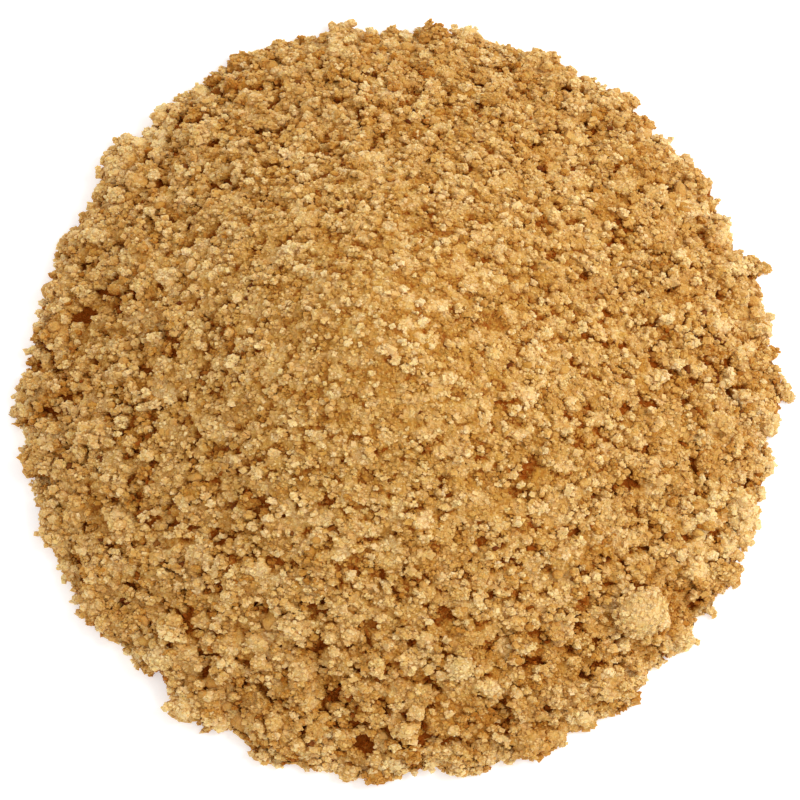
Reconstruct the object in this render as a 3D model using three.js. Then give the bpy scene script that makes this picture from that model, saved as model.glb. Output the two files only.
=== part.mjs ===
// A loose round heap of coconut sugar, poured out on a flat surface.
//
// The sugar is one closed solid: a low cone whose flanks lie at the slope at which damp sugar comes
// to rest, a rounded peak a little off the middle, clumps that grow towards the foot because the
// coarse ones roll furthest, a thin ragged rim, and a flat underside.
//
// Millimetres, +Z up, +X to the right and +Y to the back. The origin is the middle of the footprint,
// on the surface that the heap lies on.

import * as THREE from 'three';
import { SimplexNoise } from 'three/addons/math/SimplexNoise.js';

// Overall size, over the clumps that stand out furthest.
const WIDTH = 92.8;
const DEPTH = 93.2;
const HEIGHT = 26;

// The peak lies off the middle of the footprint, where the sugar was poured.
const PEAK_X = -3.3;
const PEAK_Y = 1.8;
const PEAK_ROUNDING = 0.085; // share of the way to the rim over which the peak is rounded

// The rim is one or two clumps thick, with a rounded shoulder over a foot that is drawn in.
const RIM_THICKNESS = 1.5;
const SHOULDER = 2.2; // how far in from the outline the rim reaches its full thickness
const WIDEST_HEIGHT = 0.6; // height at which the rim stands out furthest
const FOOT_INSET = 0.5;

// The ragged outline, as waves of noise: spacing along the rim, and how far they push it in and out.
const OUTLINE_WAVES = [
  { spacing: 17, push: 0.7 },
  { spacing: 7, push: 1.2 },
  { spacing: 3.4, push: 0.9 },
];

// Single clumps that lie furthest out: their direction in degrees around the middle of the
// footprint, counted from +X towards +Y, and how far they push the outline out.
const OUTLYING_CLUMPS = [
  { direction: 0, push: 1.5 },
  { direction: 20, push: 1.4 },
  { direction: 35, push: 1.1 },
  { direction: 183, push: 1.6 },
];
const OUTLYING_WIDTH = 2.6;
const RAGGED_SHARE = 0.12; // share of the way in from the rim over which the raggedness dies out

// The unevenness of the flanks, in the same way, at the peak and at the rim.
const FLANK_WAVES = [
  { spacing: 22, atPeak: 0.4, atRim: 0.7 },
  { spacing: 9, atPeak: 0.25, atRim: 0.6 },
  { spacing: 4, atPeak: 0.12, atRim: 0.45 },
];

// Loose clumps, strewn at random: more of them, and larger ones, towards the rim.
const CLUMP_COUNT = 320;
const INNERMOST_CLUMP = 0.22; // share of the way from the peak to the rim
const SMALLEST_CLUMP = 2.2;
const LARGEST_CLUMP = 5.4;
const CLUMP_RISE = 0.34; // how far a clump stands out of the flank, as a share of its width

// The clumps that stand out from the rest: the direction from the peak in degrees, counted from +X
// towards +Y, the share of the way to the rim, the width and the rise.
const LARGE_CLUMPS = [
  { direction: -43, out: 0.86, width: 8.6, rise: 2.5 },
  { direction: -21, out: 0.88, width: 6.6, rise: 1.3 },
  { direction: -3, out: 0.93, width: 5.6, rise: 1.2 },
  { direction: 18, out: 0.93, width: 5, rise: 1.2 },
  { direction: 55, out: 0.9, width: 5, rise: 1.2 },
  { direction: 78, out: 0.94, width: 5.4, rise: 1.3 },
  { direction: 118, out: 0.9, width: 5.2, rise: 1.2 },
  { direction: 152, out: 0.88, width: 5.4, rise: 1.2 },
  { direction: -166, out: 0.93, width: 6, rise: 1.3 },
  { direction: -131, out: 0.91, width: 5.4, rise: 1.5 },
  { direction: -77, out: 0.77, width: 5, rise: 1.4 },
];

// The mesh is made of rings around the peak, each with six more points than the one inside it.
const RINGS = 34;
const POINTS_ADDED = 6;

const SEED = 1265;
THREE.MathUtils.seededRandom(SEED);
const random = () => THREE.MathUtils.seededRandom();
const noise = new SimplexNoise({ random });
const NOISE_LAYER_GAP = 10; // keeps the waves of the outline unlike each other

const RIM_POINTS = POINTS_ADDED * RINGS;
const MEAN_RADIUS = (WIDTH + DEPTH) / 4;
const PEAK = new THREE.Vector2(PEAK_X, PEAK_Y);

const clumps = [...strewnClumps(), ...LARGE_CLUMPS.map(largeClump)];

/** How far the rim is pushed out, or drawn in, at an angle around the middle of the footprint. */
function rimPush(angle) {
  const waves = OUTLINE_WAVES.reduce((sum, { spacing, push }, index) => {
    const turns = MEAN_RADIUS / spacing;
    const layer = NOISE_LAYER_GAP * index;
    return sum + push * noise.noise3d(turns * Math.cos(angle), turns * Math.sin(angle), layer);
  }, 0);
  return waves + outlyingPush(angle);
}

/** How far the nearest outlying clump pushes the rim out. */
function outlyingPush(angle) {
  return OUTLYING_CLUMPS.reduce((furthest, { direction, push }) => {
    const turn = angle - THREE.MathUtils.degToRad(direction);
    const along = 2 * MEAN_RADIUS * Math.sin(turn / 2);
    return Math.max(furthest, push * Math.exp(-((along / (OUTLYING_WIDTH / 2)) ** 2)));
  }, 0);
}

/** The point that lies a share of the way out from the peak to the ragged outline. */
function heapPoint(angle, out) {
  const outwards = new THREE.Vector2(Math.cos(angle), Math.sin(angle));
  const ellipse = new THREE.Vector2((WIDTH / 2) * outwards.x, (DEPTH / 2) * outwards.y);
  const ragged = rimPush(angle) * Math.exp((out - 1) / RAGGED_SHARE);
  return PEAK.clone().lerp(ellipse, out).addScaledVector(outwards, ragged);
}

/** Clumps at random places, drawn towards the rim and growing with the way that they rolled. */
function strewnClumps() {
  return Array.from({ length: CLUMP_COUNT }, () => {
    const out = THREE.MathUtils.lerp(INNERMOST_CLUMP, 1, Math.sqrt(random()));
    const size = THREE.MathUtils.lerp(SMALLEST_CLUMP, LARGEST_CLUMP, random() ** 2 * out);
    const centre = heapPoint(2 * Math.PI * random(), out);
    return { centre, radius: size / 2, rise: CLUMP_RISE * size * out };
  });
}

function largeClump({ direction, out, width, rise }) {
  const centre = heapPoint(THREE.MathUtils.degToRad(direction), out);
  return { centre, radius: width / 2, rise };
}

/** How far the clumps lift the surface at a point: each is a dome, and the highest one counts. */
function clumpLift(point) {
  let lift = 0;
  for (const { centre, radius, rise } of clumps) {
    const reach = centre.distanceTo(point) / radius;
    if (reach < 1) lift = Math.max(lift, rise * (1 - reach ** 2));
  }
  return lift;
}

/** The straight flank under the clumps: 1 at the rounded peak and 0 at the rim. */
function flank(out) {
  const fall = (share) => Math.hypot(share, PEAK_ROUNDING) - PEAK_ROUNDING;
  return 1 - fall(out) / fall(1);
}

function flankUnevenness(point, out) {
  return FLANK_WAVES.reduce((sum, { spacing, atPeak, atRim }) => {
    const size = THREE.MathUtils.lerp(atPeak, atRim, out);
    return sum + size * noise.noise(point.x / spacing, point.y / spacing);
  }, 0);
}

/** The thickness of the rim, which curves up from the outline to its full thickness. */
function rimThickness(gap) {
  const inwards = Math.min(gap / SHOULDER, 1);
  return RIM_THICKNESS * Math.sqrt(1 - (1 - inwards) ** 2);
}

function surfaceHeight(point, out, gap) {
  const fadeAtOutline = Math.min(gap / SHOULDER, 1);
  const relief = flankUnevenness(point, out) + clumpLift(point);
  const cone = (HEIGHT - RIM_THICKNESS) * flank(out);
  return WIDEST_HEIGHT + cone + rimThickness(gap) + relief * fadeAtOutline;
}

/** The upper surface: the peak, then ring after ring out to the outline. */
function upperPoints() {
  const points = [new THREE.Vector3(PEAK.x, PEAK.y, surfaceHeight(PEAK, 0, MEAN_RADIUS))];
  for (let ring = 1; ring <= RINGS; ring += 1) {
    const out = ring / RINGS;
    for (let step = 0; step < POINTS_ADDED * ring; step += 1) {
      const angle = (2 * Math.PI * step) / (POINTS_ADDED * ring);
      const point = heapPoint(angle, out);
      const gap = point.distanceTo(heapPoint(angle, 1));
      points.push(new THREE.Vector3(point.x, point.y, surfaceHeight(point, out, gap)));
    }
  }
  return points;
}

/** The foot: the outline once more, drawn in and down on the surface, and the middle of the base. */
function footPoints() {
  const points = Array.from({ length: RIM_POINTS }, (_, step) => {
    const rim = heapPoint((2 * Math.PI * step) / RIM_POINTS, 1);
    rim.setLength(rim.length() - FOOT_INSET);
    return new THREE.Vector3(rim.x, rim.y, 0);
  });
  return [...points, new THREE.Vector3(0, 0, 0)];
}

/** The index of a point on a ring of the upper surface, counted round past the start. */
function ringIndex(ring, step) {
  if (ring === 0) return 0;
  const firstOfRing = 1 + (POINTS_ADDED * ring * (ring - 1)) / 2;
  return firstOfRing + (step % (POINTS_ADDED * ring));
}

/** The strip of triangles between a ring and the next one inside it, one sixth at a time. */
function ringTriangles(ring) {
  const triangles = [];
  for (let sixth = 0; sixth < POINTS_ADDED; sixth += 1) {
    for (let step = 0; step < ring; step += 1) {
      const outer = sixth * ring + step;
      const inner = sixth * (ring - 1) + step;
      triangles.push(ringIndex(ring, outer), ringIndex(ring, outer + 1), ringIndex(ring - 1, inner));
      if (step === ring - 1) continue;
      triangles.push(ringIndex(ring, outer + 1), ringIndex(ring - 1, inner + 1));
      triangles.push(ringIndex(ring - 1, inner));
    }
  }
  return triangles;
}

/** The wall under the outline and the flat base, a fan around its middle. */
function footTriangles(firstFoot) {
  const middle = firstFoot + RIM_POINTS;
  const triangles = [];
  for (let step = 0; step < RIM_POINTS; step += 1) {
    const next = (step + 1) % RIM_POINTS;
    const upper = ringIndex(RINGS, step);
    const upperNext = ringIndex(RINGS, next);
    triangles.push(upper, firstFoot + step, upperNext);
    triangles.push(upperNext, firstFoot + step, firstFoot + next);
    triangles.push(middle, firstFoot + next, firstFoot + step);
  }
  return triangles;
}

/** Brings the finished geometry to its exact overall size, with the origin under its middle. */
function fitToSize(geometry) {
  geometry.computeBoundingBox();
  const size = geometry.boundingBox.getSize(new THREE.Vector3());
  const middle = geometry.boundingBox.getCenter(new THREE.Vector3());
  geometry.translate(-middle.x, -middle.y, 0);
  geometry.scale(WIDTH / size.x, DEPTH / size.y, HEIGHT / size.z);
}

function heapGeometry() {
  const upper = upperPoints();
  const triangles = footTriangles(upper.length);
  for (let ring = 1; ring <= RINGS; ring += 1) triangles.push(...ringTriangles(ring));
  const geometry = new THREE.BufferGeometry().setFromPoints([...upper, ...footPoints()]);
  geometry.setIndex(triangles);
  fitToSize(geometry);
  geometry.computeVertexNormals();
  return geometry;
}

const sugar = new THREE.MeshStandardMaterial({ color: 0xc2914f, roughness: 0.6, metalness: 0 });

const sugarHeap = new THREE.Mesh(heapGeometry(), sugar);
sugarHeap.name = 'sugar_heap';

const coconutSugar = new THREE.Group();
coconutSugar.name = 'coconut_sugar';
coconutSugar.add(sugarHeap);

export default coconutSugar;
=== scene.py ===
"""Coconut sugar: the looks of a loose round heap of golden sugar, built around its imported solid.

The heap's solid gives the size and the form. A slightly smaller core takes its place, with the
relief of clumped sugar, and on it lie nuggets, crumbs and crystals as mesh at their true size.
"""

import math
from typing import NamedTuple

import bpy
import numpy as np
from bpy.props import FloatProperty, FloatVectorProperty, IntProperty, PointerProperty
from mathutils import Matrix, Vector, noise
from mathutils.bvhtree import BVHTree


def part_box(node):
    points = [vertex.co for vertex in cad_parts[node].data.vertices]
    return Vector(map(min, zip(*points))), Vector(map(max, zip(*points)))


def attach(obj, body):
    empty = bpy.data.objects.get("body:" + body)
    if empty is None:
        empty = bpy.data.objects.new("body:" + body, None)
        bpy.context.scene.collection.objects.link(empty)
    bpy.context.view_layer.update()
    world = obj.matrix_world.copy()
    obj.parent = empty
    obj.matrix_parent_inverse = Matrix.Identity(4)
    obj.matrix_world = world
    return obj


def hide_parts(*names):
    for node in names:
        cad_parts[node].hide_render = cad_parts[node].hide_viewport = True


bl_info = {
    "name": "Coconut sugar heap",
    "version": (1, 0, 0),
    "blender": (4, 5, 0),
    "location": "3D View > Sidebar > Sugar",
    "description": "Builds a loose heap of coconut sugar from a core, nuggets, crumbs and crystals",
    "category": "Object",
}

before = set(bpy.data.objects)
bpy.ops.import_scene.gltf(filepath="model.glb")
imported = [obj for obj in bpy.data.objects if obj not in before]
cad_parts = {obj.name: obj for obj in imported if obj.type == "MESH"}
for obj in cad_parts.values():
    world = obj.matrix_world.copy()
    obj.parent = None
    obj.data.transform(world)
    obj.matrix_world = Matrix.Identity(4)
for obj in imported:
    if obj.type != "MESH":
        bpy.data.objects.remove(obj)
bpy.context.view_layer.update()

MM = 0.001
HEAP_NODE = "sugar_heap"
BODY = "root"
UV_NAME = "OFBake"
SHADE = "shade"
UP = np.array((0.0, 0.0, 1.0))

HEAP_LOW, HEAP_HIGH = (np.array(corner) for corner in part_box(HEAP_NODE))
HEAP_SIZE = HEAP_HIGH - HEAP_LOW
FOOT_RADIUS = (HEAP_SIZE[0] + HEAP_SIZE[1]) / 4
OUTLINE_STEPS = 120

# Clumps and grains lie a little wider from side to side than from front to back.
LIE = np.array((1.1, 1 / 1.1, 1.0))

# Places in the shade of the sugar, from its darkest crumbs (0) to its palest crystals (1).
BROWN, AMBER, GOLDEN, PALE = 0.0, 0.33, 0.62, 1.0

# The lumps that stand out from the rest: how far right and back of the middle they lie, how wide
# they are, in millimetres, and their shade. The first four lie on the flanks, the others at the rim.
CHOSEN_LUMPS = (
    (27.0, -27.3, 6.3, 0.90),
    (6.6, -33.9, 3.4, 0.92),
    (-27.6, -32.2, 3.4, 0.90),
    (-42.1, -11.5, 3.4, 0.82),
    (-45.6, -2.6, 1.8, 0.74),
    (43.4, 15.0, 1.9, 0.70),
    (45.6, -0.8, 1.9, 0.76),
    (36.4, 25.6, 1.9, 0.74),
    (2.4, 45.6, 2.2, 0.72),
)
# Places where all clumps are paler: right, back and radius in millimetres.
PALE_PLACES = (
    (36.5, -16.0, 4.4),
    (43.6, -4.6, 3.2),
    (0.6, 1.8, 3.8),
    (4.5, 4.5, 1.8),
    (-30.1, 29.6, 2.6),
    (27.0, -27.3, 3.4),
)
# Cracks near the foot, dark inside with painted shade: right, back, half the length and half the width.
HOLLOWS = ((-15.8, -36.8, 1.7, 0.45), (38.4, -2.0, 1.3, 0.5))

# The shades that clumps have, and the share of the clumps that has each.
CLUMP_SHADES = (0.34, 0.50, 0.62, 0.70, 0.78)
CLUMP_SHARES = (0.08, 0.18, 0.35, 0.27, 0.12)

# The pieces that crystals lie on, those that stay bare, and the fine crystals from brown to pale.
CLUMP_PIECES = ("sugar_core", "sugar_nuggets", "sugar_lumps", "sugar_crumbs")
BARE_PIECES = ("amber_granules", "dark_low_crumbs")
CRYSTAL_PIECES = ("brown_crystals", "golden_crystals", "blond_crystals", "pale_crystals")

# The size of the crystal pattern in the material of the clumps, and in that of single crystals.
CLUMP_CRYSTAL = 0.36 * MM
FINE_CRYSTAL = 0.3 * MM

# Shares of a grain's width: how far it keeps from its neighbour, from the outline and from the floor.
SPACING = 0.8
SIDE_ROOM = 0.42
FLOOR_ROOM = 0.35

# Points that are lower than this belong to the flat underside.
UNDERSIDE = 0.02 * MM


class PaintedGapShade(NamedTuple):
    """Painted shade in gaps of one width and painted light on their crests, millimetre by millimetre.
    """

    width: float
    shallow: float  # depth that changes nothing yet
    deeper: float  # depth below that over which the sugar gets browner
    higher: float  # height over which it gets paler
    at_peak: float  # how much browner each millimetre makes it at the heap's peak
    more_at_foot: float  # and how much more than that at the foot


# Painted shade in wide gaps and in narrow seams, with painted light on their crests.
PAINTED_GAP_SHADES = (
    PaintedGapShade(1.0 * MM, shallow=0.1, deeper=1.0, higher=0.6, at_peak=0.11, more_at_foot=0.24),
    PaintedGapShade(0.45 * MM, shallow=0.0, deeper=0.4, higher=0.35, at_peak=0.5, more_at_foot=-0.2),
)
# Painted light on the crests, where they stand above the sugar around them.
PAINTED_CREST_LIGHT = 0.10  # how much paler each millimetre of height makes a crest


class Kind(NamedTuple):
    """One kind of loose clump: its patterns, number and common width, and how it lies."""

    name: str
    patterns: list
    count: int
    size: float
    outwards: float  # how strongly it is drawn to the foot
    shade: float = None  # its own shade, where it has one
    rise: float = 1.0  # how far it stands out, as a share of the others
    darkest: str = "brown"  # its darkest colour


# ---------------------------------------------------------------- settings


def length(name, description, default):
    return FloatProperty(name=name, description=description, default=default, unit="LENGTH")


def colour(name, description, default):
    return FloatVectorProperty(
        name=name, description=description, default=default, subtype="COLOR", min=0.0, max=1.0
    )


class SugarColours(bpy.types.PropertyGroup):
    # The darkest crumbs, which are set lower than the other clumps.
    dark_low: colour("Dark low", "The darkest burnt crumbs", (0.165, 0.036, 0.006))
    # Brown: the colour that the painted shade in the gaps leads to.
    brown: colour("Brown", "Syrup in the deepest gaps", (0.32, 0.072, 0.004))
    amber: colour("Amber", "Clear caramel crystals", (0.54, 0.252, 0.042))
    golden: colour("Golden", "Most of the sugar", (0.70, 0.410, 0.116))
    pale: colour("Pale", "The palest, driest crystals", (0.95, 0.700, 0.320))


class SugarCore(bpy.types.PropertyGroup):
    inset: length("Inset", "How far the core lies inside the heap's solid", 0.9 * MM)
    fine_clump: length("Fine clump", "Size of the clumps at the peak", 1.5 * MM)
    coarse_clump: length("Coarse clump", "Size of the clumps at the rim", 3.6 * MM)
    granule: length("Granule", "Size of the granules that the clumps are made of", 0.6 * MM)
    seed: IntProperty(name="Seed", description="Start of the random draws", default=11)


class SugarGrains(bpy.types.PropertyGroup):
    nuggets: IntProperty(name="Nuggets", description="Number of the largest clumps", default=130)
    lumps: IntProperty(name="Lumps", description="Number of middling clumps", default=1150)
    crumbs: IntProperty(name="Crumbs", description="Number of small clumps", default=2700)
    granules: IntProperty(name="Granules", description="Number of smooth amber granules", default=240)
    dark_low: IntProperty(name="Burnt crumbs", description="Number of dark burnt crumbs", default=150)
    coarse: IntProperty(name="Coarse crystals", description="Number of coarse crystals", default=12000)
    crystals: IntProperty(name="Crystals", description="Number of fine crystals", default=62000)
    nugget_size: length("Nugget size", "Width of a common nugget", 2.7 * MM)
    lump_size: length("Lump size", "Width of a common lump", 1.35 * MM)
    crumb_size: length("Crumb size", "Width of a common crumb", 0.9 * MM)
    granule_size: length("Granule size", "Width of a common amber granule", 1.25 * MM)
    dark_low_size: length("Burnt crumb size", "Width of a common burnt crumb", 0.95 * MM)
    coarse_size: length("Coarse crystal size", "Width of a coarse crystal", 0.54 * MM)
    crystal_size: length("Crystal size", "Width of a fine crystal", 0.32 * MM)
    seed: IntProperty(name="Seed", description="Start of the random draws", default=23)


class SugarStage(bpy.types.PropertyGroup):
    elevation: FloatProperty(
        name="Camera elevation", description="Angle of the view above the floor",
        default=math.radians(77), subtype="ANGLE",
    )
    lens: FloatProperty(name="Lens", description="Focal length in millimetres", default=120.0)
    frame_width: length("Frame width", "Width that the picture shows at the floor", 94.6 * MM)
    sun: FloatProperty(name="Key light", description="Power of the key light in watts", default=0.50)
    sky: FloatProperty(name="Sky", description="Strength of the light from all round", default=0.82)
    floor: colour("Floor", "Colour of the floor", (0.9, 0.9, 0.9))
    glow: FloatProperty(
        name="Glow", description="Light that the lit floor table gives off", default=0.35
    )


SETTINGS = {
    "sugar_colours": SugarColours,
    "sugar_core": SugarCore,
    "sugar_grains": SugarGrains,
    "sugar_stage": SugarStage,
}


# ---------------------------------------------------------------- shader groups and materials


def new_group(name, inputs, outputs):
    """An empty shader node group with its sockets, its input node and its output node."""
    group = bpy.data.node_groups.new(name, "ShaderNodeTree")
    for socket_name, kind, value in inputs:
        socket = group.interface.new_socket(socket_name, in_out="INPUT", socket_type=kind)
        socket.default_value = value
    for socket_name, kind in outputs:
        group.interface.new_socket(socket_name, in_out="OUTPUT", socket_type=kind)
    return group, group.nodes.new("NodeGroupInput"), group.nodes.new("NodeGroupOutput")


def fill(tree, socket, value):
    """Links a socket to another one, or gives it a plain value."""
    if isinstance(value, bpy.types.NodeSocket):
        tree.links.new(value, socket)
    else:
        socket.default_value = value


def math_node(tree, operation, first, second, clamp=False):
    node = tree.nodes.new("ShaderNodeMath")
    node.operation = operation
    node.use_clamp = clamp
    fill(tree, node.inputs[0], first)
    fill(tree, node.inputs[1], second)
    return node.outputs[0]


def range_node(tree, value, start, end, low=0.0, high=1.0):
    """A value that goes from low to high as another one goes from start to end."""
    node = tree.nodes.new("ShaderNodeMapRange")
    numbers = {"From Min": start, "From Max": end, "To Min": low, "To Max": high}
    for name, number in numbers.items():
        node.inputs[name].default_value = number
    tree.links.new(value, node.inputs["Value"])
    return node.outputs["Result"]


def mix_node(tree, blend, factor, first, second):
    """Two colours mixed, through the sockets that a Mix node keeps for colours."""
    node = tree.nodes.new("ShaderNodeMix")
    node.data_type = "RGBA"
    node.blend_type = blend
    fill(tree, node.inputs["Factor"], factor)
    fill(tree, node.inputs[6], first)
    fill(tree, node.inputs[7], second)
    return node.outputs[2]


def sugar_group():
    """Colour, roughness and height of sugar from its shade, mottled crystal by crystal."""
    name = "Sugar grain"
    if name in bpy.data.node_groups:
        return bpy.data.node_groups[name]
    number, rgb, vector = "NodeSocketFloat", "NodeSocketColor", "NodeSocketVector"
    group, source, sink = new_group(
        name,
        [
            ("Vector", vector, (0, 0, 0)),
            ("Shade", number, 0.6),
            ("Mottle", number, 0.2),
            ("Crystal", number, 0.45 * MM),
            ("Brown", rgb, (0.1, 0.03, 0.01, 1)),
            ("Amber", rgb, (0.4, 0.17, 0.03, 1)),
            ("Golden", rgb, (0.65, 0.37, 0.11, 1)),
            ("Pale", rgb, (0.9, 0.68, 0.36, 1)),
        ],
        [("Colour", rgb), ("Roughness", number), ("Height", number)],
    )
    nodes, links = group.nodes, group.links
    take = source.outputs

    scale = math_node(group, "DIVIDE", 1.0, take["Crystal"])
    cells = nodes.new("ShaderNodeTexVoronoi")
    cells.feature = "F1"
    links.new(take["Vector"], cells.inputs["Vector"])
    links.new(scale, cells.inputs["Scale"])
    cell_value = nodes.new("ShaderNodeSeparateColor")
    links.new(cells.outputs["Color"], cell_value.inputs["Color"])

    clouds = nodes.new("ShaderNodeTexNoise")
    clouds.inputs["Detail"].default_value = 3.0
    links.new(take["Vector"], clouds.inputs["Vector"])
    links.new(math_node(group, "MULTIPLY", scale, 0.22), clouds.inputs["Scale"])

    cell_shift = math_node(group, "SUBTRACT", cell_value.outputs["Red"], 0.5)
    cloud_shift = math_node(group, "SUBTRACT", clouds.outputs["Fac"], 0.5)
    stronger = math_node(group, "MULTIPLY", cloud_shift, 1.6)
    both = math_node(group, "ADD", cell_shift, stronger)
    shift = math_node(group, "MULTIPLY", both, take["Mottle"])
    shade = math_node(group, "ADD", take["Shade"], shift, clamp=True)

    colour_now = take["Brown"]
    # Amber, both the sugar's own colour and that of painted shade in the gaps.
    drifted_amber = amber_drift(group, take["Amber"], take["Vector"])
    steps = ((BROWN, AMBER, drifted_amber), (AMBER, GOLDEN, take["Golden"]), (GOLDEN, PALE, take["Pale"]))
    for start, end, upper in steps:
        share = range_node(group, shade, start, end)
        colour_now = mix_node(group, "MIX", share, colour_now, upper)
    links.new(hue_drift(group, colour_now, take["Vector"], scale), sink.inputs["Colour"])

    roughness = range_node(group, cell_value.outputs["Green"], 0, 1, 0.34, 0.72)
    links.new(roughness, sink.inputs["Roughness"])

    dome = math_node(group, "SUBTRACT", 1.0, cells.outputs["Distance"])
    tilt = math_node(group, "MULTIPLY", cell_value.outputs["Blue"], 0.5)
    links.new(math_node(group, "ADD", dome, tilt), sink.inputs["Height"])
    return group


def hue_drift(tree, colour_now, place, scale):
    """The colour turned a little to yellow in some places and to tan in others."""
    drift = tree.nodes.new("ShaderNodeTexNoise")
    drift.noise_dimensions = "4D"
    drift.inputs["W"].default_value = 5.0
    fill(tree, drift.inputs["Vector"], place)
    fill(tree, drift.inputs["Scale"], math_node(tree, "MULTIPLY", scale, 0.3))
    share = range_node(tree, drift.outputs["Fac"], 0.3, 0.7)
    yellow, tan = (1.0, 0.99, 0.86, 1), (1.0, 0.985, 1.16, 1)
    tint = mix_node(tree, "MIX", share, yellow, tan)
    return mix_node(tree, "MULTIPLY", 1.0, colour_now, tint)


def amber_drift(tree, colour_now, place):
    """The amber colour, both the sugar's own and that of painted shade in the gaps, turned to yellow
    around the peak and to red at the foot.
    """
    distance = tree.nodes.new("ShaderNodeVectorMath")
    distance.operation = "LENGTH"
    fill(tree, distance.inputs[0], place)
    start, end = 0.25 * FOOT_RADIUS, 0.9 * FOOT_RADIUS
    outwards = range_node(tree, distance.outputs["Value"], start, end)
    yellow, red = (1.0, 1.09, 1.15, 1), (1.0, 0.95, 0.80, 1)
    tint = mix_node(tree, "MIX", outwards, yellow, red)
    return mix_node(tree, "MULTIPLY", 1.0, colour_now, tint)


def sugar_material(name, crystal, mottle, bump, darkest="brown"):
    """A material of sugar whose shade comes from the mesh, clump by clump and grain by grain.

    Its crystals have a size, a mottle from one to the next and a bump, and its darkest colour is
    the brown of the painted shade in the gaps, or that of the darkest crumbs.
    """
    colours = bpy.context.scene.sugar_colours
    material = bpy.data.materials.new(name)
    material.use_nodes = True
    nodes, links = material.node_tree.nodes, material.node_tree.links
    shader = nodes["Principled BSDF"]
    shader.inputs["IOR"].default_value = 1.5
    shader.inputs["Subsurface Weight"].default_value = 0.4
    shader.inputs["Subsurface Radius"].default_value = (1.0, 0.9, 0.8)
    shader.inputs["Subsurface Scale"].default_value = 0.3 * MM
    shader.inputs["Specular IOR Level"].default_value = 0.15
    shader.inputs["Specular Tint"].default_value = (1.0, 0.72, 0.36, 1)

    sugar = nodes.new("ShaderNodeGroup")
    sugar.node_tree = sugar_group()
    sugar.inputs["Crystal"].default_value = crystal
    sugar.inputs["Mottle"].default_value = mottle
    fields = {"Brown": darkest, "Amber": "amber", "Golden": "golden", "Pale": "pale"}
    for socket, field in fields.items():
        sugar.inputs[socket].default_value = (*getattr(colours, field), 1)
    place = nodes.new("ShaderNodeTexCoord")
    shade = nodes.new("ShaderNodeAttribute")
    shade.attribute_name = SHADE
    links.new(place.outputs["Object"], sugar.inputs["Vector"])
    links.new(shade.outputs["Fac"], sugar.inputs["Shade"])
    links.new(sugar.outputs["Colour"], shader.inputs["Base Color"])
    links.new(sugar.outputs["Roughness"], shader.inputs["Roughness"])

    relief = nodes.new("ShaderNodeBump")
    relief.inputs["Strength"].default_value = bump
    relief.inputs["Distance"].default_value = crystal * 0.6
    links.new(sugar.outputs["Height"], relief.inputs["Height"])
    links.new(relief.outputs["Normal"], shader.inputs["Normal"])
    return material


# ---------------------------------------------------------------- meshes as arrays


def activate(thing):
    bpy.ops.object.select_all(action="DESELECT")
    thing.select_set(True)
    bpy.context.view_layer.objects.active = thing


def read_points(mesh, field="co"):
    """The places of a mesh's points, or their normals."""
    values = np.empty(len(mesh.vertices) * 3, np.float32)
    mesh.vertices.foreach_get(field, values)
    return values.reshape(-1, 3).astype(float)


def write_points(mesh, points):
    mesh.vertices.foreach_set("co", points.astype(np.float32).ravel())
    mesh.update()


def write_shade(mesh, values):
    if SHADE not in mesh.attributes:
        mesh.attributes.new(SHADE, "FLOAT", "POINT")
    mesh.attributes[SHADE].data.foreach_set("value", values.astype(np.float32))


def read_shade(mesh):
    values = np.empty(len(mesh.vertices), np.float32)
    mesh.attributes[SHADE].data.foreach_get("value", values)
    return values.astype(float)


def outward_share(points):
    """0 at the heap's peak and 1 at its rim, by the height of the flank."""
    return np.clip(1 - points[:, 2] / HEAP_HIGH[2], 0, 1)


def heap_outline():
    """How far the heap's foot reaches out in each direction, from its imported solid."""
    points = read_points(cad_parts[HEAP_NODE].data)
    outline = np.zeros(OUTLINE_STEPS)
    np.maximum.at(outline, direction_step(points), np.hypot(points[:, 0], points[:, 1]))
    return outline


def direction_step(points):
    share = np.arctan2(points[:, 1], points[:, 0]) / (2 * math.pi) + 0.5
    return (share * OUTLINE_STEPS).astype(int) % OUTLINE_STEPS


def from_hollow(points):
    """The distance to the nearest slanting crack, as a share of its half length and half width."""
    nearest = np.full(len(points), np.inf)
    for right, back, half_length, half_width in np.array(HOLLOWS) * MM:
        x, y = points[:, 0] - right, points[:, 1] - back
        along, across = (x - y) / math.sqrt(2), (x + y) / math.sqrt(2)
        nearest = np.minimum(nearest, np.hypot(along / half_length, across / half_width))
    return nearest


def room_outwards(points):
    """How far each point lies inside the heap's outline."""
    return heap_outline()[direction_step(points)] - np.hypot(points[:, 0], points[:, 1])


def keep_inside(points, widths, rng, unevenness=0.5 * MM):
    """Draws grains in from beyond the outline and the peak, and lifts them clear of the floor."""
    distance = np.hypot(points[:, 0], points[:, 1])
    reach = distance + room_outwards(points) - SIDE_ROOM * widths
    reach -= rng.uniform(0, unevenness, len(points))
    points[:, :2] *= np.minimum(1, reach / np.maximum(distance, 1e-9))[:, None]
    points[:, 2] = np.clip(points[:, 2], widths * FLOOR_ROOM, HEAP_HIGH[2] - widths * FLOOR_ROOM)


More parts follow.
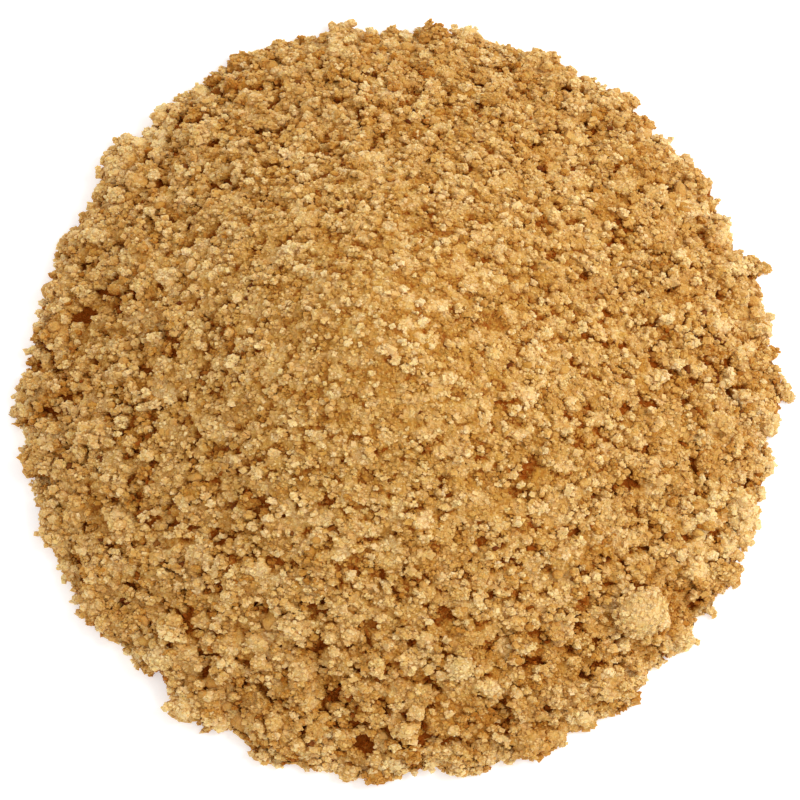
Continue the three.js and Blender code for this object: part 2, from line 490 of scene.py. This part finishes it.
class Surface:
    """The triangles of some pieces, with a tree to cast rays at them."""

    clearance = 0.04 * MM  # how far above a place its ray starts
    sight = 3 * MM  # how far the ray has to get
    lean = 0.8  # how far it leans aside, as a share of the way out of the heap

    def __init__(self, pieces):
        points, triangles, shades = [], [], []
        start = 0
        for piece in pieces:
            mesh = piece.data
            mesh.calc_loop_triangles()
            corners = np.empty(len(mesh.loop_triangles) * 3, np.int32)
            mesh.loop_triangles.foreach_get("vertices", corners)
            points.append(read_points(mesh))
            triangles.append(corners.reshape(-1, 3) + start)
            shades.append(read_shade(mesh))
            start += len(mesh.vertices)
        self.points = np.concatenate(points)
        self.triangles = np.concatenate(triangles)
        self.shades = np.concatenate(shades)
        a, b, c = (self.points[self.triangles[:, k]] for k in range(3))
        cross = np.cross(b - a, c - a)
        doubled = np.linalg.norm(cross, axis=1)
        self.areas = doubled / 2
        self.normals = cross / np.maximum(doubled, 1e-16)[:, None]
        self.tree = BVHTree.FromPolygons(self.points.tolist(), self.triangles.tolist())

    def scatter(self, count, weights, rng):
        """Random places: points, face normals and shades, drawn by area times weight."""
        chance = self.areas * weights
        chosen = rng.choice(len(self.triangles), size=count, p=chance / chance.sum())
        u, v = rng.random((2, count, 1))
        over = u + v > 1
        u, v = np.where(over, 1 - u, u), np.where(over, 1 - v, v)
        a, b, c = (self.points[self.triangles[chosen, k]] for k in range(3))
        points = a + u * (b - a) + v * (c - a)
        shades = self.shades[self.triangles[chosen]].mean(axis=1)
        return points, self.normals[chosen], shades

    def drop(self, x, y):
        """The point of the surface, or of the floor beside it, right below a place."""
        hit = self.tree.ray_cast(Vector((x, y, 2 * HEAP_HIGH[2])), -Vector(UP))[0]
        return np.array((x, y, 0.0) if hit is None else hit)

    def in_the_open(self, points, normals, rng):
        """Which places see out of the heap, each along a way that leans to a side at random."""
        sides = rng.normal(size=points.shape)
        sides /= np.linalg.norm(sides, axis=1)[:, None]
        ways = heap_normals(points) + self.lean * sides
        starts = points + self.clearance * normals
        return np.array([
            self.tree.ray_cast(Vector(start), Vector(way), self.sight)[0] is None
            for start, way in zip(starts, ways)
        ])


class TopView:
    """The height of some pieces seen from above, to tell the gaps of the heap from its crests."""

    cell = 0.25 * MM
    reach = 12  # cells that count on each side of a place when the heights are smoothed
    edge = 4 * MM  # width of the rim over which the depths fade out

    def __init__(self, pieces):
        self.side = int(1.2 * HEAP_SIZE.max() / self.cell)
        self.tops = np.zeros((self.side, self.side))
        for piece in pieces:
            points = read_points(piece.data)
            np.maximum.at(self.tops, self.cells(points), points[:, 2])

    def cells(self, points):
        steps = (points[:, :2] / self.cell + self.side / 2).astype(int)
        return tuple(np.clip(steps, 0, self.side - 1).T)

    def smooth(self, values, blur):
        steps = np.arange(-self.reach, self.reach + 1) * self.cell / blur
        bell = np.exp(-steps ** 2 / 2)
        bell /= bell.sum()
        for _ in range(2):
            values = np.apply_along_axis(np.convolve, 0, values, bell, "same").T
        return values

    def depths(self, points, blur):
        """How far points lie below the mean level around them, fading out at the heap's outline."""
        covered = self.smooth((self.tops > 0).astype(float), blur)
        level = self.smooth(self.tops, blur) / np.maximum(covered, 0.05)
        fade = np.clip(room_outwards(points) / self.edge, 0, 1)
        return (level[self.cells(points)] - points[:, 2]) * fade


def draw_shades(points, rng):
    """Shades of clumps: golden and blond, browner down the flank, and paler again along the rim:
    painted light of the lit floor through the thin sugar.
    """
    kinds = rng.choice(CLUMP_SHADES, size=len(points), p=CLUMP_SHARES)
    at_peak, down_flank, in_place = 0.21, 0.235, 0.21
    shades = kinds + rng.normal(0, 0.05, len(points)) + at_peak - down_flank * outward_share(points)
    room = room_outwards(points)
    # Painted light: the lit floor shining through the thin sugar at the rim makes it paler.
    floor_glow_near_rim, floor_glow_at_rim = np.clip(1 - room / (4 * MM), 0, 1), np.clip(1 - room / (1.6 * MM), 0, 1)
    shades += 0.22 * floor_glow_near_rim + 0.3 * floor_glow_at_rim
    for right, back, radius in PALE_PLACES:
        apart = np.hypot(points[:, 0] - right * MM, points[:, 1] - back * MM) / (radius * MM)
        shades += in_place * np.clip(1.5 - apart, 0, 1)
    return shades


def ragged_shift(points):
    """A small uneven shift, smooth from place to place, that makes round clumps ragged."""
    spacing, amount = 1.1 * MM, 0.4 * MM
    return np.array([noise.noise_vector(Vector(point / spacing)) for point in points]) * amount


def heap_normals(points):
    """The way out of the heap at each point: up, and outwards over the slope of the flank."""
    outward = points - (HEAP_LOW + HEAP_HIGH) / 2
    outward[:, 2] = 0
    distance = np.linalg.norm(outward, axis=1)[:, None]
    slope = HEAP_SIZE[2] / FOOT_RADIUS
    off_peak = np.clip(distance / FOOT_RADIUS * 4, 0, 1)
    normals = UP + slope * outward / np.maximum(distance, 1e-6) * off_peak
    return normals / np.linalg.norm(normals, axis=1)[:, None]


def spread_out(points, gaps, most):
    """Takes points in turn, leaving out any that lies closer than its gap to one taken before."""
    cell = gaps.max()
    taken, grid = [], {}
    keys = np.floor(points / cell).astype(int)
    for index, key in enumerate(map(tuple, keys)):
        near = [
            other
            for dx in (-1, 0, 1) for dy in (-1, 0, 1) for dz in (-1, 0, 1)
            for other in grid.get((key[0] + dx, key[1] + dy, key[2] + dz), ())
        ]
        if near:
            apart = np.linalg.norm(points[near] - points[index], axis=1)
            if (apart < (gaps[near] + gaps[index]) / 2).any():
                continue
        grid.setdefault(key, []).append(index)
        taken.append(index)
        if len(taken) == most:
            break
    return np.array(taken)


def uneven_sizes(widths, rng):
    """The sizes of grains along their three sides, each side a little off the grain's width."""
    return widths[:, None] * rng.uniform(0.75, 1.25, (len(widths), 3))


def random_turns(count, rng):
    """Rotation matrices, evenly spread over every way that a grain can lie."""
    w, x, y, z = rng.normal(size=(4, count))
    size = np.sqrt(w * w + x * x + y * y + z * z)
    w, x, y, z = w / size, x / size, y / size, z / size
    rows = [
        [1 - 2 * (y * y + z * z), 2 * (x * y - z * w), 2 * (x * z + y * w)],
        [2 * (x * y + z * w), 1 - 2 * (x * x + z * z), 2 * (y * z - x * w)],
        [2 * (x * z - y * w), 2 * (y * z + x * w), 1 - 2 * (x * x + y * y)],
    ]
    return np.array(rows).transpose(2, 0, 1)


def upright_turns(points, rng):
    """Rotation matrices that lay flat lumps on the flank, each turned at random."""
    up = heap_normals(points)
    along = rng.normal(size=up.shape)
    along -= (along * up).sum(axis=1)[:, None] * up
    along /= np.linalg.norm(along, axis=1)[:, None]
    return np.stack([along, np.cross(up, along), up], axis=2)


# ---------------------------------------------------------------- patterns of grains


def start_edit():
    bpy.ops.object.mode_set(mode="EDIT")
    bpy.ops.mesh.select_mode(type="VERT")
    bpy.ops.mesh.select_all(action="SELECT")


def select_faces(thing, wanted):
    bpy.ops.mesh.select_mode(type="FACE")
    bpy.ops.object.mode_set(mode="OBJECT")
    for face in thing.data.polygons:
        face.select = wanted(face)
    bpy.ops.object.mode_set(mode="EDIT")


def take_pattern(thing):
    """Unwraps a finished pattern, reads it as arrays at unit width and removes it."""
    bpy.ops.mesh.select_all(action="SELECT")
    bpy.ops.uv.smart_project(angle_limit=math.radians(66), island_margin=0.06)
    bpy.ops.object.mode_set(mode="OBJECT")
    mesh = thing.data
    corners = len(mesh.polygons[0].vertices)
    faces = np.array([list(face.vertices) for face in mesh.polygons])
    uvs = np.empty(len(mesh.loops) * 2, np.float32)
    mesh.uv_layers.active.data.foreach_get("uv", uvs)
    points = read_points(mesh)
    points -= (points.min(axis=0) + points.max(axis=0)) / 2
    points /= np.ptp(points, axis=0).mean()
    bpy.data.objects.remove(thing)
    bpy.data.meshes.remove(mesh)
    return points, faces, uvs.reshape(-1, corners, 2).astype(float)


def splinter_pattern(seed):
    """One small sharp crystal: two pyramids on a shared square, with uneven corners."""
    bpy.ops.mesh.primitive_cone_add(vertices=4, radius1=0.5, depth=0.42)
    thing = bpy.context.object
    start_edit()
    select_faces(thing, lambda face: len(face.vertices) == 4)
    bpy.ops.mesh.poke(offset=0.42)
    bpy.ops.mesh.select_all(action="SELECT")
    bpy.ops.transform.vertex_random(offset=0.14, seed=seed)
    return take_pattern(thing)


def block_pattern(seed):
    """One sugar crystal: a block with uneven corners, a little longer one way."""
    bpy.ops.mesh.primitive_cube_add(size=1)
    thing = bpy.context.object
    start_edit()
    bpy.ops.transform.resize(value=(1.0, 0.8, 0.7))
    bpy.ops.transform.vertex_random(offset=0.18, seed=seed)
    bpy.ops.mesh.quads_convert_to_tris(quad_method="BEAUTY")
    return take_pattern(thing)


def cluster_pattern(seed, count, width):
    """Crystals stuck together around a small heart: blocks and pointed chips, turned at random.

    A few wide crystals fill the middle by themselves, and have no heart.
    """
    rng = np.random.default_rng(seed)
    reach = 0.5 - width / 2
    bpy.ops.mesh.primitive_ico_sphere_add(subdivisions=1 if count < 20 else 2, radius=reach)
    thing = bpy.context.object
    start_edit()
    if count < 6:
        bpy.ops.mesh.delete(type="VERT")
    for number in range(count):
        bpy.ops.mesh.select_all(action="DESELECT")
        way = rng.normal(size=3)
        place = way / np.linalg.norm(way) * reach * rng.uniform(0.85, 1.15)
        turn = rng.uniform(0, math.tau, 3)
        if number % 2:
            bpy.ops.mesh.primitive_cube_add(size=0.8 * width, location=place, rotation=turn)
        else:
            bpy.ops.mesh.primitive_cone_add(
                vertices=4, radius1=0.6 * width, depth=0.9 * width, location=place, rotation=turn
            )
        bpy.ops.transform.vertex_random(offset=0.2 * width, seed=seed + number)
    bpy.ops.mesh.select_all(action="SELECT")
    bpy.ops.mesh.quads_convert_to_tris(quad_method="BEAUTY")
    return take_pattern(thing)


def granule_pattern(seed, subdivisions):
    """One rounded granule of crystals grown together: a ball whose faces stand out unevenly."""
    rng = np.random.default_rng(seed)
    bpy.ops.mesh.primitive_ico_sphere_add(subdivisions=subdivisions, radius=0.5)
    thing = bpy.context.object
    points = read_points(thing.data)
    write_points(thing.data, points * rng.uniform(0.84, 1.1, (len(points), 1)))
    start_edit()
    bpy.ops.transform.resize(value=tuple(rng.uniform(0.75, 1.2, 3)))
    bpy.ops.transform.vertex_random(offset=0.05, seed=seed)
    return take_pattern(thing)


def join_grains(name, patterns, places, rng, underside_shade):
    """One mesh of many grains, each a pattern turned, sized and set in its place.

    Every grain has its own cell of the UV map, so that a baked picture can hold its colour. The
    underside shade makes the lower side of a grain browner: painted shade.
    """
    points, turns, sizes, shades = places
    which = rng.integers(len(patterns), size=len(points))
    side = math.ceil(math.sqrt(len(points)))
    margin = 0.08
    all_points, all_faces, all_uvs, all_shades = [], [], [], []
    start = 0
    for number, (shape, faces, uvs) in enumerate(patterns):
        mine = np.nonzero(which == number)[0]
        if not len(mine):
            continue
        placed = np.einsum("gij,gvj->gvi", turns[mine], shape[None] * sizes[mine][:, None, :]) * LIE
        widths = sizes[mine].mean(axis=1)[:, None]
        low = -np.einsum("gvi,gi->gv", placed, heap_normals(points[mine])) / widths
        placed += points[mine][:, None, :]
        starts = start + np.arange(len(mine)) * len(shape)
        cells = np.stack([mine % side, mine // side], axis=1)[:, None, None, :]
        all_points.append(placed.reshape(-1, 3))
        all_faces.append((faces[None] + starts[:, None, None]).reshape(-1, faces.shape[1]))
        all_uvs.append(((cells + margin + (1 - 2 * margin) * uvs[None]) / side).reshape(-1, 2))
        # Painted shade: the lower side of each grain is browner.
        underside_shaded = shades[mine][:, None] - underside_shade * np.clip(0.5 + 2 * low, 0, 1)
        all_shades.append(underside_shaded.ravel())
        start += len(mine) * len(shape)
    return new_piece(name, *map(np.concatenate, (all_points, all_faces, all_uvs, all_shades)))


def new_piece(name, points, faces, uvs, shades):
    """A flat-shaded piece from arrays, with nothing of it below the floor."""
    points[:, 2] = np.maximum(points[:, 2], 0)
    mesh = bpy.data.meshes.new(name)
    mesh.vertices.add(len(points))
    mesh.loops.add(faces.size)
    mesh.polygons.add(len(faces))
    mesh.vertices.foreach_set("co", points.astype(np.float32).ravel())
    mesh.loops.foreach_set("vertex_index", faces.astype(np.int32).ravel())
    starts = np.arange(0, faces.size, faces.shape[1], dtype=np.int32)
    mesh.polygons.foreach_set("loop_start", starts)
    mesh.update(calc_edges=True)
    mesh.uv_layers.new(name=UV_NAME).data.foreach_set("uv", uvs.astype(np.float32).ravel())
    write_shade(mesh, shades)
    mesh.validate()
    mesh.shade_flat()
    piece = bpy.data.objects.new(name, mesh)
    bpy.context.scene.collection.objects.link(piece)
    return piece


def settle(piece, material):
    """Gives a finished piece its material and its place in the part."""
    piece.data.materials.clear()
    piece.data.materials.append(material)
    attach(piece, BODY)


# ---------------------------------------------------------------- operators


class SUGAR_OT_core(bpy.types.Operator):
    """Make the core of the heap, with the relief of clumped sugar"""

    bl_idname = "sugar.core"
    bl_label = "Core"

    def execute(self, context):
        settings = context.scene.sugar_core
        core = self.smooth_heap()
        rng = np.random.default_rng(settings.seed)
        noise.seed_set(settings.seed)
        mesh = core.data
        points, normals = read_points(mesh), read_points(mesh, "normal")
        clumps = self.draw_clumps(points, settings, rng)
        lift, shade = self.clump_relief(points, clumps)
        self.shape(mesh, points, normals, lift - settings.inset)
        write_shade(mesh, shade)
        self.granules(core, settings)
        self.lay_out(mesh)
        settle(core, sugar_material("sugar_core", CLUMP_CRYSTAL, 0.24, 0.8))
        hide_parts(HEAP_NODE)
        return {"FINISHED"}

    def smooth_heap(self):
        """A copy of the heap's solid with its doubles merged, divided finely."""
        activate(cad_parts[HEAP_NODE])
        bpy.ops.object.duplicate()
        core = bpy.context.object
        core.name = core.data.name = "sugar_core"
        for key in [key for key in core.keys() if key.startswith("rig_")]:
            del core[key]
        core.parent = None
        start_edit()
        bpy.ops.mesh.remove_doubles(threshold=0.001 * MM)
        bpy.ops.object.mode_set(mode="OBJECT")
        finer = core.modifiers.new("Finer", "SUBSURF")
        finer.levels = finer.render_levels = 2
        bpy.ops.object.modifier_apply(modifier=finer.name)
        return core

    def draw_clumps(self, points, settings, rng):
        """Places, radii, heights as shares of the radius, and shades: coarser towards the rim."""
        tries = 12000
        chosen = points[rng.choice(len(points), size=tries)]
        out = outward_share(chosen)
        size = settings.fine_clump + (settings.coarse_clump - settings.fine_clump) * out ** 1.5
        size *= rng.uniform(0.55, 1.25, len(chosen))
        kept = spread_out(chosen, size * SPACING, tries)
        shades = draw_shades(chosen[kept], rng)
        rise = rng.uniform(0.1, 0.42, len(kept)) * (0.5 + 0.75 * out[kept])
        return chosen[kept], size[kept] * 0.6, rise, shades

    def clump_relief(self, points, clumps):
        """How far the clumps lift each point, and the shade of the highest clump there.

        Each clump is a dome with a flat top. Where none reaches, the ground lies lower and is browner,
        more so towards the foot: painted shade in the low ground. The low edges of the clumps and the
        cracks get painted shade too.
        """
        centres, radii, rises, shades = clumps
        sunk, crack_depth = 0.35 * MM, 1.6 * MM
        lift = -0.3 * MM - 0.7 * MM * outward_share(points)
        # Painted shade on the low ground between the clumps.
        shade = 0.44 - 0.29 * outward_share(points)
        bent = ((points + ragged_shift(points)) / LIE).astype(np.float32)
        centres32 = (centres / LIE).astype(np.float32)
        batch = 4000
        for start in range(0, len(points), batch):
            part = bent[start:start + batch]
            apart = np.sqrt(((part[:, None, :] - centres32[None]) ** 2).sum(axis=2)) / radii
            top = radii * rises * np.sqrt(np.maximum(1 - apart ** 4, 0)) - sunk
            top[apart > 1] = -1
            best = top.argmax(axis=1)
            height = top[np.arange(len(part)), best]
            here = slice(start, start + len(part))
            higher = height > lift[here]
            lift[here] = np.where(higher, height, lift[here])
            # Painted shade on the low edges of the clumps.
            depth = np.clip(height / (0.5 * MM) + 1.0, 0, 1)
            shade[here] = np.where(higher, shades[best] * (0.75 + 0.25 * depth), shade[here])
        lift -= crack_depth * np.clip(1.3 - from_hollow(points), 0, 1)
        # Painted shade in the cracks.
        shade *= np.clip(from_hollow(points), 0.1, 1)
        return lift, shade

    def shape(self, mesh, points, normals, push):
        """Pushes the surface along its normals, draws the foot in and keeps the underside flat."""
        flat = normals.copy()
        foot_height = 0.4 * MM
        near_floor = points[:, 2] < foot_height
        flat[near_floor, 2] = 0
        underside = points[:, 2] < UNDERSIDE
        moved = points + flat * np.where(near_floor, -abs(push), push)[:, None]
        moved[underside, 2] = 0
        moved[:, 2] = np.clip(moved[:, 2], 0, HEAP_HIGH[2])
        write_points(mesh, moved)

    def granules(self, core, settings):
        """Rounded granules over the clumps, from a cell texture that displaces the mesh."""
        texture = bpy.data.textures.new("Granules", "VORONOI")
        texture.noise_scale = settings.granule
        texture.noise_intensity = 1.3
        bumps = core.modifiers.new("Granules", "DISPLACE")
        bumps.texture = texture
        bumps.texture_coords = "LOCAL"
        bumps.strength = -0.35 * MM
        bumps.mid_level = 0.35
        activate(core)
        bpy.ops.object.modifier_apply(modifier=bumps.name)
        points = read_points(core.data)
        points[:, 2] = np.maximum(points[:, 2], 0)
        write_points(core.data, points)

    def lay_out(self, mesh):
        """A UV map of the core from above, steep walls spread outwards, the underside in a corner."""
        corners = np.empty(len(mesh.loops), np.int32)
        mesh.loops.foreach_get("vertex_index", corners)
        normals = np.empty(len(mesh.polygons) * 3, np.float32)
        mesh.polygons.foreach_get("normal", normals)
        sides = np.empty(len(mesh.polygons), np.int32)
        mesh.polygons.foreach_get("loop_total", sides)
        points = read_points(mesh)
        distance = np.hypot(points[:, 0], points[:, 1])
        spread = distance + HEAP_HIGH[2] - points[:, 2]
        ways = points[:, :2] / np.maximum(distance, 1e-9)[:, None]
        middle, reach = 0.5, 0.49
        above = middle + reach * ways * (spread / spread.max())[:, None]
        corner, corner_reach = 0.07, 0.065
        below = corner + corner_reach * points[:, :2] / distance.max()
        flat_base = points[:, 2] < UNDERSIDE
        faces_down = np.repeat(normals.reshape(-1, 3)[:, 2] < -0.9, sides)
        uvs = np.where((faces_down & flat_base[corners])[:, None], below[corners], above[corners])
        while mesh.uv_layers:
            mesh.uv_layers.remove(mesh.uv_layers[0])
        mesh.uv_layers.new(name=UV_NAME).data.foreach_set("uv", uvs.astype(np.float32).ravel())


class SUGAR_OT_lumps(bpy.types.Operator):
    """Make the nuggets, lumps, crumbs, amber granules and low-lying dark crumbs that lie on the core"""

    bl_idname = "sugar.lumps"
    bl_label = "Nuggets, lumps and crumbs"

    def execute(self, context):
        settings = context.scene.sugar_grains
        rng = np.random.default_rng(settings.seed)
        core = Surface([bpy.data.objects["sugar_core"]])
        large = [cluster_pattern(seed, 32, 0.24) for seed in range(100, 106)]
        middling = [granule_pattern(seed, 2) for seed in range(200, 204)]
        middling += [cluster_pattern(seed, 7, 0.42) for seed in range(204, 212)]
        small = [granule_pattern(seed, 1) for seed in range(220, 228)]
        small += [cluster_pattern(seed, 5, 0.55) for seed in range(228, 236)]
        compact = [cluster_pattern(seed, 120, 0.10) for seed in range(50, 54)]
        self.chosen_lumps(compact, core, rng)
        kinds = (
            Kind("sugar_nuggets", large, settings.nuggets, settings.nugget_size, outwards=2.5),
            Kind("sugar_lumps", middling, settings.lumps, settings.lump_size, outwards=1.3),
            Kind("sugar_crumbs", small, settings.crumbs, settings.crumb_size, outwards=0.1),
            Kind(
                "amber_granules", middling, settings.granules, settings.granule_size,
                outwards=0.3, shade=0.50,
            ),
            # Dark crumbs, set lower than the other clumps and mostly towards the foot.
            Kind(
                "dark_low_crumbs", small, settings.dark_low, settings.dark_low_size,
                outwards=1.6, shade=0.04, rise=0.3, darkest="dark_low",
            ),
        )
        for kind in kinds:
            self.strew(kind, core, rng)
        self.paint_gap_shade_and_crest_light()
        return {"FINISHED"}

    def chosen_lumps(self, patterns, core, rng):
        """The lumps that stand out, each set on the core below its place."""
        right, back, width, shade = np.array(CHOSEN_LUMPS).T
        widths = width * MM
        points = np.array([core.drop(x * MM, y * MM) for x, y in zip(right, back)])
        keep_inside(points, widths * 0.5, rng)
        flattened = np.array((1.0, 1.0, 0.62))
        sizes = widths[:, None] * flattened
        turns = upright_turns(points, rng)
        places = (points, turns, sizes, shade)
        piece = join_grains("chosen_lumps", patterns, places, rng, underside_shade=0.1)
        settle(piece, sugar_material("chosen_lumps", CLUMP_CRYSTAL, 0.2, 0.8))

    def strew(self, kind, core, rng):
        """Clumps of one kind on the core, wide ones sunk so that all stand out about as far."""
        middles = core.points[core.triangles].mean(axis=1)
        off_floor = middles[:, 2] > 0.3 * MM
        share_at_peak = 0.12
        weights = off_floor * (share_at_peak + outward_share(middles) ** kind.outwards)
        tries = 4 * kind.count
        points, normals, _ = core.scatter(tries, weights, rng)
        widths = kind.size * np.exp(np.clip(rng.normal(0, 0.26, len(points)), -0.5, 0.5))
        widths *= 0.7 + 0.7 * outward_share(points) ** 1.5
        kept = spread_out(points, widths * SPACING, kind.count)
        kept = kept[from_hollow(points[kept]) > 1]
        points, normals, widths = points[kept], normals[kept], widths[kept]
        rise = rng.uniform(0.25, 0.7, len(points)) * MM * (0.5 + 0.9 * outward_share(points))
        rise *= kind.rise
        half = 0.38 * widths
        ways = normals + heap_normals(points)
        ways /= np.linalg.norm(ways, axis=1)[:, None]
        points = points + ways * (rise - half)[:, None]
        keep_inside(points, widths, rng)
        sizes = uneven_sizes(widths, rng)
        shades = draw_shades(points, rng)
        mottle = 0.2
        if kind.shade is not None:
            shades = rng.normal(kind.shade, 0.05, len(points))
            mottle = 0.05
        places = (points, random_turns(len(points), rng), sizes, shades)
        piece = join_grains(kind.name, kind.patterns, places, rng, underside_shade=0.32)
        settle(piece, sugar_material(kind.name, CLUMP_CRYSTAL, mottle, 0.7, kind.darkest))

    def paint_gap_shade_and_crest_light(self):
        """Paints shade and light: makes the sugar browner in the gaps and paler on the crests."""
        pieces = [bpy.data.objects[name] for name in CLUMP_PIECES]
        view = TopView(pieces)
        for piece in pieces:
            points = read_points(piece.data)
            shade = read_shade(piece.data)
            for gap in PAINTED_GAP_SHADES:
                depth = view.depths(points, gap.width) / MM
                # Painted shade in the gaps and painted light on the crests.
                browner = gap.at_peak + gap.more_at_foot * outward_share(points)
                browner *= np.clip(depth - gap.shallow, 0, gap.deeper)
                shade -= browner - PAINTED_CREST_LIGHT * np.clip(-depth, 0, gap.higher)
            write_shade(piece.data, shade)


class SUGAR_OT_crystals(bpy.types.Operator):
    """Make the single crystals that cover the core, the nuggets, the lumps and the crumbs"""

    bl_idname = "sugar.crystals"
    bl_label = "Crystals"

    def execute(self, context):
        settings = context.scene.sugar_grains
        rng = np.random.default_rng(settings.seed + 1)
        patterns = [block_pattern(seed) for seed in range(300, 306)]
        patterns += [splinter_pattern(seed) for seed in range(306, 312)]
        coarse = self.places(CLUMP_PIECES, settings.coarse, settings.coarse_size, rng, variety=0.045)
        self.piece("coarse_crystals", patterns, coarse, rng)
        ground = (*CLUMP_PIECES, "chosen_lumps")
        hosts = (*ground, "coarse_crystals")
        fine = self.places(hosts, settings.crystals, settings.crystal_size, rng, variety=0.09)
        shades = fine[-1]
        from_brown_to_pale = np.array_split(np.argsort(shades), len(CRYSTAL_PIECES))
        for name, mine in zip(CRYSTAL_PIECES, from_brown_to_pale):
            self.piece(name, patterns, [values[mine] for values in fine], rng)
        self.paint_shade_under_crystals(ground)
        return {"FINISHED"}

    def paint_shade_under_crystals(self, ground):
        """Paints shade under the crystals: makes what lies under them browner, so that each of them
        stands out from it.
        """
        at_peak, less_at_foot = 0.16, 0.09
        for name in ground:
            mesh = bpy.data.objects[name].data
            out = outward_share(read_points(mesh))
            write_shade(mesh, read_shade(mesh) - at_peak + less_at_foot * out)

    def places(self, hosts, count, size, rng, variety):
        """Where the crystals lie, how they are turned, their sizes and their shades.

        The variety is how far their shades lie from that of the piece below.
        """
        surface = Surface([bpy.data.objects[name] for name in hosts])
        points, normals, shades = self.open_places(surface, count, rng)
        out = outward_share(points)
        widths = size * np.exp(rng.normal(0, 0.2, len(points))) * (0.9 + 0.15 * out)
        points = points + normals * widths[:, None] * rng.uniform(-0.28, 0.17, (len(points), 1))
        keep_inside(points, widths, rng, unevenness=0.0)
        sizes = uneven_sizes(widths, rng)
        shades = shades + rng.normal(0.35, 1, len(points)) * variety * (0.75 + 0.3 * out)
        return points, random_turns(len(points), rng), sizes, shades

    def open_places(self, surface, count, rng):
        """Places that can be seen from outside the heap, clear of the granules that stay bare."""
        middles = surface.points[surface.triangles].mean(axis=1)
        facing = (surface.normals * heap_normals(middles)).sum(axis=1)
        weights = (middles[:, 2] > 0.15 * MM) * (facing > -0.35)
        tries = 5 * count
        points, normals, shades = surface.scatter(tries, weights, rng)
        bare = Surface([bpy.data.objects[name] for name in BARE_PIECES])
        is_open = surface.in_the_open(points, normals, rng) & bare.in_the_open(points, normals, rng)
        chosen = np.nonzero(is_open)[0][:count]
        return points[chosen], normals[chosen], shades[chosen]

    def piece(self, name, patterns, places, rng):
        piece = join_grains(name, patterns, places, rng, underside_shade=0.1)
        settle(piece, sugar_material(name, FINE_CRYSTAL, 0.1, 0.2))


class SUGAR_OT_stage(bpy.types.Operator):
    """Set the pale floor, the soft studio light and the camera"""

    bl_idname = "sugar.stage"
    bl_label = "Floor, light and camera"

    def execute(self, context):
        settings = context.scene.sugar_stage
        scene = context.scene
        scene.view_settings.view_transform = "Standard"
        self.floor(settings)
        self.sky(scene, settings)
        self.key_light(settings)
        scene.camera = self.camera(settings)
        return {"FINISHED"}

    def floor(self, settings):
        bpy.ops.object.select_all(action="DESELECT")
        bpy.ops.mesh.primitive_plane_add(size=3.0)
        floor = bpy.context.object
        floor.name = floor.data.name = "floor"
        material = bpy.data.materials.new("floor")
        material.use_nodes = True
        shader = material.node_tree.nodes["Principled BSDF"]
        shader.inputs["Base Color"].default_value = (*settings.floor, 1)
        shader.inputs["Roughness"].default_value = 0.9
        shader.inputs["Emission Color"].default_value = (1, 1, 1, 1)
        shader.inputs["Emission Strength"].default_value = settings.glow
        floor.data.materials.append(material)

    def sky(self, scene, settings):
        world = bpy.data.worlds.new("Studio")
        scene.world = world
        world.use_nodes = True
        light = world.node_tree.nodes["Background"]
        light.inputs["Color"].default_value = (1.0, 1.0, 1.0, 1)
        light.inputs["Strength"].default_value = settings.sky

    def key_light(self, settings):
        bearing, height = math.radians(9), math.radians(50)
        distance, size = 0.32, 0.14
        place = distance * Vector((
            math.cos(height) * math.cos(bearing), math.cos(height) * math.sin(bearing), math.sin(height)
        ))
        bpy.ops.object.light_add(type="AREA", location=place)
        light = bpy.context.object
        light.name = "key_light"
        light.rotation_euler = (-place).to_track_quat("-Z", "Y").to_euler()
        light.data.size = size
        light.data.energy = settings.sun

    def camera(self, settings):
        data = bpy.data.cameras.new("camera")
        data.lens = settings.lens
        data.clip_start = 0.01
        camera = bpy.data.objects.new("camera", data)
        bpy.context.scene.collection.objects.link(camera)
        distance = settings.frame_width * data.lens / data.sensor_width
        target = Vector((-0.3 * MM, -1.1 * MM, 0))
        back = Vector((0, -math.cos(settings.elevation), math.sin(settings.elevation)))
        camera.location = target + back * distance
        camera.rotation_euler = (-back).to_track_quat("-Z", "Y").to_euler()
        return camera


class SUGAR_PT_panel(bpy.types.Panel):
    """The steps that build the heap, and their settings"""

    bl_idname = "SUGAR_PT_panel"
    bl_label = "Coconut sugar"
    bl_space_type = "VIEW_3D"
    bl_region_type = "UI"
    bl_category = "Sugar"

    def draw(self, context):
        for step in STEPS:
            self.layout.operator(step.bl_idname)
        for name, group in SETTINGS.items():
            box = self.layout.box()
            for field in group.__annotations__:
                box.prop(getattr(context.scene, name), field)


STEPS = (SUGAR_OT_core, SUGAR_OT_lumps, SUGAR_OT_crystals, SUGAR_OT_stage)
CLASSES = (*SETTINGS.values(), *STEPS, SUGAR_PT_panel)


def register():
    for item in CLASSES:
        bpy.utils.register_class(item)
    for name, group in SETTINGS.items():
        setattr(bpy.types.Scene, name, PointerProperty(type=group))


def unregister():
    for name in SETTINGS:
        delattr(bpy.types.Scene, name)
    for item in reversed(CLASSES):
        bpy.utils.unregister_class(item)


def main():
    register()
    bpy.ops.sugar.core()
    bpy.ops.sugar.lumps()
    bpy.ops.sugar.crystals()
    bpy.ops.sugar.stage()


if __name__ == "__main__":
    main()
